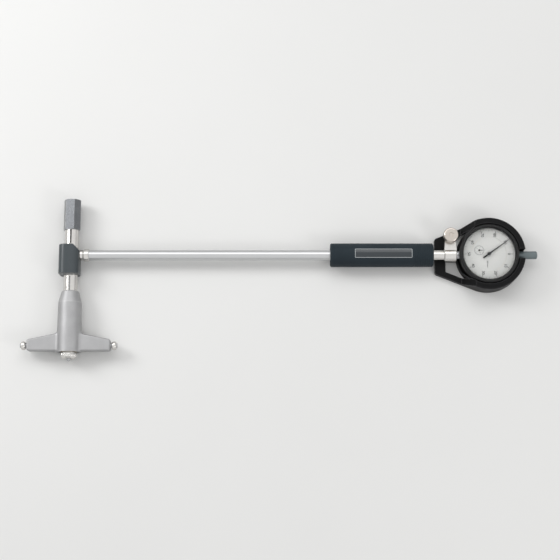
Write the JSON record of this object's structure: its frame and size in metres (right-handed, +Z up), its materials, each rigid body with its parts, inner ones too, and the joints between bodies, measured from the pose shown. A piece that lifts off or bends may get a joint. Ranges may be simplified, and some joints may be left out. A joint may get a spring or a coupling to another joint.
{
  "type": "dial bore gauge",
  "caption": "Large bore gauge: cross head with swivelling guide bridge and rollers, long tube with grip, and a guarded dial driven by the measuring contact.",
  "frame": {"origin": "on the surface that the gauge lies on, under the crossing of the tube's axis and the measuring head's axis, on the head block's flat underside", "axes": "+X along the tube towards the dial, +Y along the head towards the anvil nut, +Z up out of the dial's face"},
  "size_m": [0.4979, 0.158, 0.0249],
  "materials": {
    "dark_paint": "satin",
    "polished_steel": "polished",
    "ground_steel": "ground",
    "satin_chrome": "satin",
    "bridge_alloy": "blasted and clear coated",
    "spring_steel": "drawn wire",
    "brass": "turned",
    "grip_plastic": "satin moulded",
    "guard_plastic": "fine moulded grain",
    "bezel_black": "semi gloss",
    "dial_white": "matte print",
    "hand_black": "satin black",
    "crystal": "clear",
    "cap_grey": "satin",
    "carbide": "lapped"
  },
  "bodies": {
    "frame": {"head_block": "dark_paint", "head_cover": "dark_paint", "cover_screws": "ground_steel", "crank_pin": "ground_steel", "anvil_collet": "polished_steel", "contact_sleeve": "polished_steel", "end_cap": "polished_steel", "guide_stop_ring": "ground_steel", "guide_spring": "spring_steel", "tube_collar": "polished_steel", "tube": "satin_chrome", "rod_bush_front": "brass", "rod_spring_seat": "brass", "rod_bush_rear": "brass", "push_rod_spring": "spring_steel", "grip": "grip_plastic", "stem_tube": "polished_steel", "stem_clamp": "polished_steel", "guard": "guard_plastic", "guard_screws": "ground_steel", "dial_case": "bezel_black", "back_cover": "bezel_black", "stem": "ground_steel", "spindle_bush": "brass", "spindle_cap": "cap_grey", "spindle_spring": "spring_steel", "rear_plate": "brass", "front_plate": "brass", "pillars": "brass", "hairspring": "spring_steel", "centre_dial": "dial_white"},
    "anvil_nut": {"anvil_nut": "ground_steel"},
    "contact": {"measuring_plunger": "ground_steel", "contact_tip": "carbide"},
    "crank": {"bell_crank": "ground_steel"},
    "rod": {"push_rod": "ground_steel", "rod_collar": "ground_steel"},
    "spindle": {"rack_spindle": "ground_steel", "contact_point": "carbide"},
    "counter": {"counter_arbor": "brass", "counter_hand": "hand_black"},
    "centre": {"centre_arbor": "brass", "main_hand": "hand_black"},
    "takeup": {"takeup_arbor": "brass"},
    "carrier": {"guide_carrier": "brass", "carrier_clip": "spring_steel"},
    "guide": {"guide_bridge": "bridge_alloy", "guide_cap": "bridge_alloy", "roller_pins": "ground_steel"},
    "roller_right": {"roller_right": "polished_steel"},
    "roller_left": {"roller_left": "polished_steel"},
    "bezel": {"bezel": "bezel_black", "crystal": "crystal", "scale_ring": "dial_white"},
    "clamp_screw": {"clamp_screw": "polished_steel"}
  },
  "joints": [
    {"name": "contact_slide", "type": "slide", "parent": "frame", "child": "contact", "axis": [0, 1, 0], "range_m": [0, 0.0016], "stiffness_N_per_m": 600, "springref_m": -0.006},
    {"name": "crank_turn", "type": "hinge", "parent": "frame", "child": "crank", "pos_m": [0.0034, -0.004, 0.012], "axis": [0, 0, 1], "range_deg": [-22.92, 0]},
    {"name": "push_rod_slide", "type": "slide", "parent": "frame", "child": "rod", "axis": [1, 0, 0], "range_m": [0, 0.0016], "deforming": ["push_rod_spring"]},
    {"name": "spindle_slide", "type": "slide", "parent": "frame", "child": "spindle", "axis": [1, 0, 0], "range_m": [0, 0.0016], "deforming": ["spindle_spring"]},
    {"name": "counter_spin", "type": "hinge", "parent": "frame", "child": "counter", "pos_m": [0.39471, 0.0037, 0.012], "axis": [0, 0, 1], "range_deg": [0, 57.61]},
    {"name": "hand_spin", "type": "hinge", "parent": "frame", "child": "centre", "pos_m": [0.404, 0, 0.012], "axis": [0, 0, 1], "range_deg": [-576.06, 0]},
    {"name": "takeup_spin", "type": "hinge", "parent": "frame", "child": "takeup", "pos_m": [0.41329, -0.0037, 0.012], "axis": [0, 0, 1], "range_deg": [0, 57.61], "deforming": ["hairspring"]},
    {"name": "guide_slide", "type": "slide", "parent": "frame", "child": "carrier", "axis": [0, 1, 0], "range_m": [0, 0.006], "stiffness_N_per_m": 300, "springref_m": -0.02, "deforming": ["guide_spring"]},
    {"name": "guide_swivel", "type": "hinge", "parent": "carrier", "child": "guide", "pos_m": [0, 0, 0.012], "axis": [0, 1, 0], "range_deg": [0, 90]},
    {"name": "roller_right_spin", "type": "hinge", "parent": "guide", "child": "roller_right", "pos_m": [0.0415, -0.0883, 0.012], "axis": [1, 0, 0], "continuous": true},
    {"name": "roller_left_spin", "type": "hinge", "parent": "guide", "child": "roller_left", "pos_m": [-0.0415, -0.0883, 0.012], "axis": [1, 0, 0], "continuous": true},
    {"name": "bezel_turn", "type": "hinge", "parent": "frame", "child": "bezel", "pos_m": [0.404, 0, 0.012], "axis": [0, 0, 1], "continuous": true},
    {"name": "anvil_nut_turn", "type": "hinge", "parent": "frame", "child": "anvil_nut", "pos_m": [0, 0, 0.012], "axis": [0, 1, 0], "range_deg": [0, 180]},
    {"name": "clamp_screw_turn", "type": "hinge", "parent": "frame", "child": "clamp_screw", "pos_m": [0.3673, 0.0179, 0.012], "axis": [0, 0, 1], "range_deg": [0, 270]}
  ],
  "couplings": [
    {"joint": "crank_turn", "follows": "contact_slide", "rad_per_m": -250},
    {"joint": "push_rod_slide", "follows": "contact_slide", "ratio": 1},
    {"joint": "spindle_slide", "follows": "contact_slide", "ratio": 1},
    {"joint": "counter_spin", "follows": "contact_slide", "rad_per_m": 628.32},
    {"joint": "hand_spin", "follows": "contact_slide", "rad_per_m": -6283.2},
    {"joint": "takeup_spin", "follows": "contact_slide", "rad_per_m": 628.32}
  ]
}
